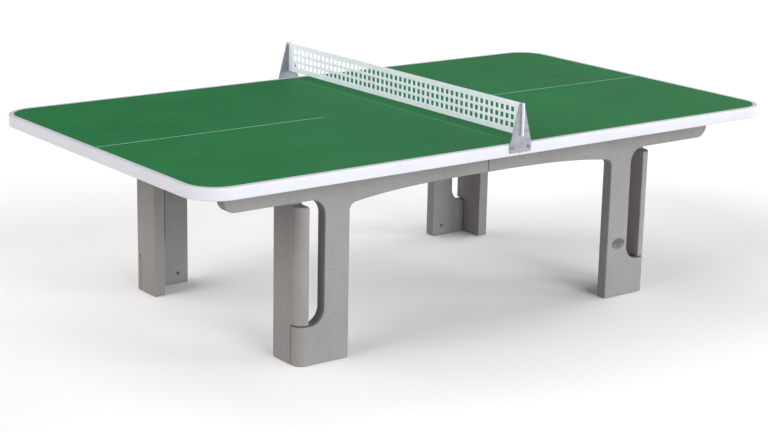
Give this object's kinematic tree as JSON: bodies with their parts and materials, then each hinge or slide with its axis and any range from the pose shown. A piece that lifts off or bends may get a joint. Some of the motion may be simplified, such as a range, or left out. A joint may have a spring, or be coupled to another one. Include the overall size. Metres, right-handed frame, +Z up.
{
  "type": "ping pong table",
  "caption": "Outdoor concrete table tennis table: green coated top with white edge, interlocking slotted concrete legs, perforated steel net in slotted brackets.",
  "frame": {"origin": "on the floor under the middle of the table", "axes": "+X along the table's length, +Y towards the rear long side, +Z up"},
  "size_m": [2.74, 1.5616, 0.914],
  "materials": {
    "base_concrete": "fair-faced grey polymer concrete, fine speckle, matt",
    "slab_concrete": "grey polymer concrete, ground smooth, matt",
    "green_coating": "green weatherproof coating, satin, faint mottling",
    "white_edge": "white edge band and border, satin",
    "line_paint": "pale line paint, satin",
    "net_steel": "light grey powder-coated perforated sheet, satin",
    "galvanised_steel": "hot-dip galvanised, mottled, dull",
    "bolt_steel": "weathered steel fasteners",
    "rubber": "black rubber strip, matt",
    "badge_metal": "blank oval plate, dull"
  },
  "bodies": {
    "table": {"anchor_insert_front_left": "galvanised_steel", "anchor_insert_front_right": "galvanised_steel", "anchor_insert_rear_left": "galvanised_steel", "anchor_insert_rear_right": "galvanised_steel", "badge": "badge_metal", "bearing_strip_front_left": "rubber", "bearing_strip_front_right": "rubber", "bearing_strip_rear_left": "rubber", "bearing_strip_rear_right": "rubber", "centre_line_left": "line_paint", "centre_line_right": "line_paint", "corner_bracket_front_left": "galvanised_steel", "corner_bracket_front_right": "galvanised_steel", "corner_bracket_rear_left": "galvanised_steel", "corner_bracket_rear_right": "galvanised_steel", "corner_end_bolt_front_left": "bolt_steel", "corner_end_bolt_front_right": "bolt_steel", "corner_end_bolt_rear_left": "bolt_steel", "corner_end_bolt_rear_right": "bolt_steel", "corner_side_bolt_front_left": "bolt_steel", "corner_side_bolt_front_right": "bolt_steel", "corner_side_bolt_rear_left": "bolt_steel", "corner_side_bolt_rear_right": "bolt_steel", "corner_slab_bolt_front_left": "bolt_steel", "corner_slab_bolt_front_right": "bolt_steel", "corner_slab_bolt_rear_left": "bolt_steel", "corner_slab_bolt_rear_right": "bolt_steel", "edge_rim_left": "white_edge", "edge_rim_right": "white_edge", "end_frame_left": "base_concrete", "end_frame_right": "base_concrete", "net_bracket_bolt_front_left": "bolt_steel", "net_bracket_bolt_front_right": "bolt_steel", "net_bracket_bolt_rear_left": "bolt_steel", "net_bracket_bolt_rear_right": "bolt_steel", "net_bracket_front": "galvanised_steel", "net_bracket_insert_front_left": "galvanised_steel", "net_bracket_insert_front_right": "galvanised_steel", "net_bracket_insert_rear_left": "galvanised_steel", "net_bracket_insert_rear_right": "galvanised_steel", "net_bracket_rear": "galvanised_steel", "playing_surface_left": "green_coating", "playing_surface_right": "green_coating", "side_frame_front_left": "base_concrete", "side_frame_front_right": "base_concrete", "side_frame_rear_left": "base_concrete", "side_frame_rear_right": "base_concrete", "slab_dowel_front": "galvanised_steel", "slab_dowel_rear": "galvanised_steel", "slab_left": "slab_concrete", "slab_right": "slab_concrete", "splice_bolt_front_left": "bolt_steel", "splice_bolt_front_right": "bolt_steel", "splice_bolt_rear_left": "bolt_steel", "splice_bolt_rear_right": "bolt_steel", "splice_plate_front": "galvanised_steel", "splice_plate_rear": "galvanised_steel"},
    "net": {"net_plate": "net_steel"}
  },
  "joints": [
    {"name": "net_lift", "type": "slide", "parent": "table", "child": "net", "axis": [0, 0, 1], "range_m": [0, 0.13]}
  ]
}
